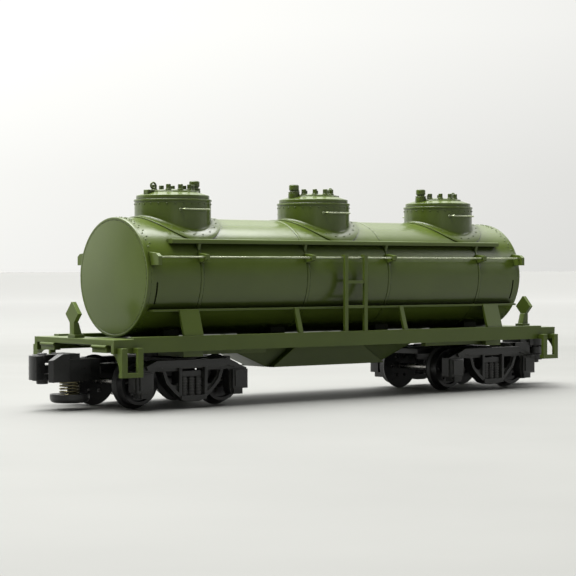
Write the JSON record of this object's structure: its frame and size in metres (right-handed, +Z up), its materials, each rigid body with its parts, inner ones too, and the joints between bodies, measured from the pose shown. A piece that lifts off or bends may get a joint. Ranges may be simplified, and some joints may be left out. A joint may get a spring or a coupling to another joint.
{
  "type": "model tank wagon",
  "caption": "Model tank wagon with domed tank, running boards, ladders and handrails on a fishbelly underframe carried by sprung bogies with knuckle couplers.",
  "frame": {"origin": "on the rail-level plane through the lowest points of the wheel flanges, midway between the bogies", "axes": "+Z up, X along the wagon with the front end at -X, Y across it with the left side at -Y"},
  "size_m": [0.298, 0.066, 0.0952],
  "materials": {
    "olive_paint": "semi-gloss olive green paint on moulded plastic",
    "rail_wire": "thin painted wire with a bright edge",
    "black_casting": "semi-gloss black paint on die-cast metal",
    "black_wheel": "blackened metal with a worn tread",
    "bare_steel": "bright turned steel",
    "brass_wire": "bright brass-coloured spring wire"
  },
  "bodies": {
    "car_body": {"underframe": "olive_paint", "centre_sill": "olive_paint", "corner_steps": "olive_paint", "tank_saddles": "olive_paint", "tank_barrel": "olive_paint", "front_end_cap": "olive_paint", "rear_end_cap": "olive_paint", "front_dome": "olive_paint", "middle_dome": "olive_paint", "rear_dome": "olive_paint", "front_dome_lid": "olive_paint", "middle_dome_lid": "olive_paint", "rear_dome_lid": "olive_paint", "safety_valves": "olive_paint", "lid_bolts": "olive_paint", "lifting_eyes": "olive_paint", "dome_grab_rails": "olive_paint", "tank_rivets": "olive_paint", "dome_rivets": "olive_paint", "left_walkway": "olive_paint", "right_walkway": "olive_paint", "walkway_struts": "olive_paint", "left_handrail": "rail_wire", "right_handrail": "rail_wire", "handrail_stanchions": "olive_paint", "handrail_end_brackets": "olive_paint", "left_ladder": "olive_paint", "right_ladder": "olive_paint", "left_cradle": "olive_paint", "right_cradle": "olive_paint", "front_placard": "olive_paint", "rear_placard": "olive_paint", "ballast_weight": "bare_steel", "body_screws": "bare_steel", "front_kingpin": "bare_steel", "rear_kingpin": "bare_steel"},
    "front_bogie": {"front_bolster": "black_casting", "front_side_frames": "black_casting", "front_coupler_head": "black_casting", "front_knuckle_pin": "black_casting", "front_plate_spring": "brass_wire"},
    "front_knuckle_body": {"front_knuckle": "black_casting"},
    "front_uncoupler": {"front_uncoupling_plate": "black_casting"},
    "front_outer_wheelset": {"front_outer_axle": "bare_steel", "front_outer_wheels": "black_wheel"},
    "front_inner_wheelset": {"front_inner_axle": "bare_steel", "front_inner_wheels": "black_wheel"},
    "rear_bogie": {"rear_bolster": "black_casting", "rear_side_frames": "black_casting", "rear_coupler_head": "black_casting", "rear_knuckle_pin": "black_casting", "rear_plate_spring": "brass_wire"},
    "rear_knuckle_body": {"rear_knuckle": "black_casting"},
    "rear_uncoupler": {"rear_uncoupling_plate": "black_casting"},
    "rear_outer_wheelset": {"rear_outer_axle": "bare_steel", "rear_outer_wheels": "black_wheel"},
    "rear_inner_wheelset": {"rear_inner_axle": "bare_steel", "rear_inner_wheels": "black_wheel"}
  },
  "joints": [
    {"name": "front_bogie_swivel", "type": "hinge", "parent": "car_body", "child": "front_bogie", "pos_m": [-0.0887, 0, 0.0229], "axis": [0, 0, 1], "range_deg": [-20, 20]},
    {"name": "front_knuckle_hinge", "type": "hinge", "parent": "front_bogie", "child": "front_knuckle_body", "pos_m": [-0.1413, 0.005, 0.017], "axis": [0, 0, -1], "range_deg": [0, 45]},
    {"name": "front_plate_slide", "type": "slide", "parent": "front_bogie", "child": "front_uncoupler", "axis": [0, 0, -1], "range_m": [0, 0.002], "stiffness_N_per_m": 60, "deforming": ["front_plate_spring"]},
    {"name": "front_outer_axle_spin", "type": "hinge", "parent": "front_bogie", "child": "front_outer_wheelset", "pos_m": [-0.1099, 0, 0.0107], "axis": [0, 1, 0], "continuous": true},
    {"name": "front_inner_axle_spin", "type": "hinge", "parent": "front_bogie", "child": "front_inner_wheelset", "pos_m": [-0.0675, 0, 0.0107], "axis": [0, 1, 0], "continuous": true},
    {"name": "rear_bogie_swivel", "type": "hinge", "parent": "car_body", "child": "rear_bogie", "pos_m": [0.0887, 0, 0.0229], "axis": [0, 0, 1], "range_deg": [-20, 20]},
    {"name": "rear_knuckle_hinge", "type": "hinge", "parent": "rear_bogie", "child": "rear_knuckle_body", "pos_m": [0.1413, -0.005, 0.017], "axis": [0, 0, -1], "range_deg": [0, 45]},
    {"name": "rear_plate_slide", "type": "slide", "parent": "rear_bogie", "child": "rear_uncoupler", "axis": [0, 0, -1], "range_m": [0, 0.002], "stiffness_N_per_m": 60, "deforming": ["rear_plate_spring"]},
    {"name": "rear_outer_axle_spin", "type": "hinge", "parent": "rear_bogie", "child": "rear_outer_wheelset", "pos_m": [0.1099, 0, 0.0107], "axis": [0, 1, 0], "continuous": true},
    {"name": "rear_inner_axle_spin", "type": "hinge", "parent": "rear_bogie", "child": "rear_inner_wheelset", "pos_m": [0.0675, 0, 0.0107], "axis": [0, 1, 0], "continuous": true}
  ]
}
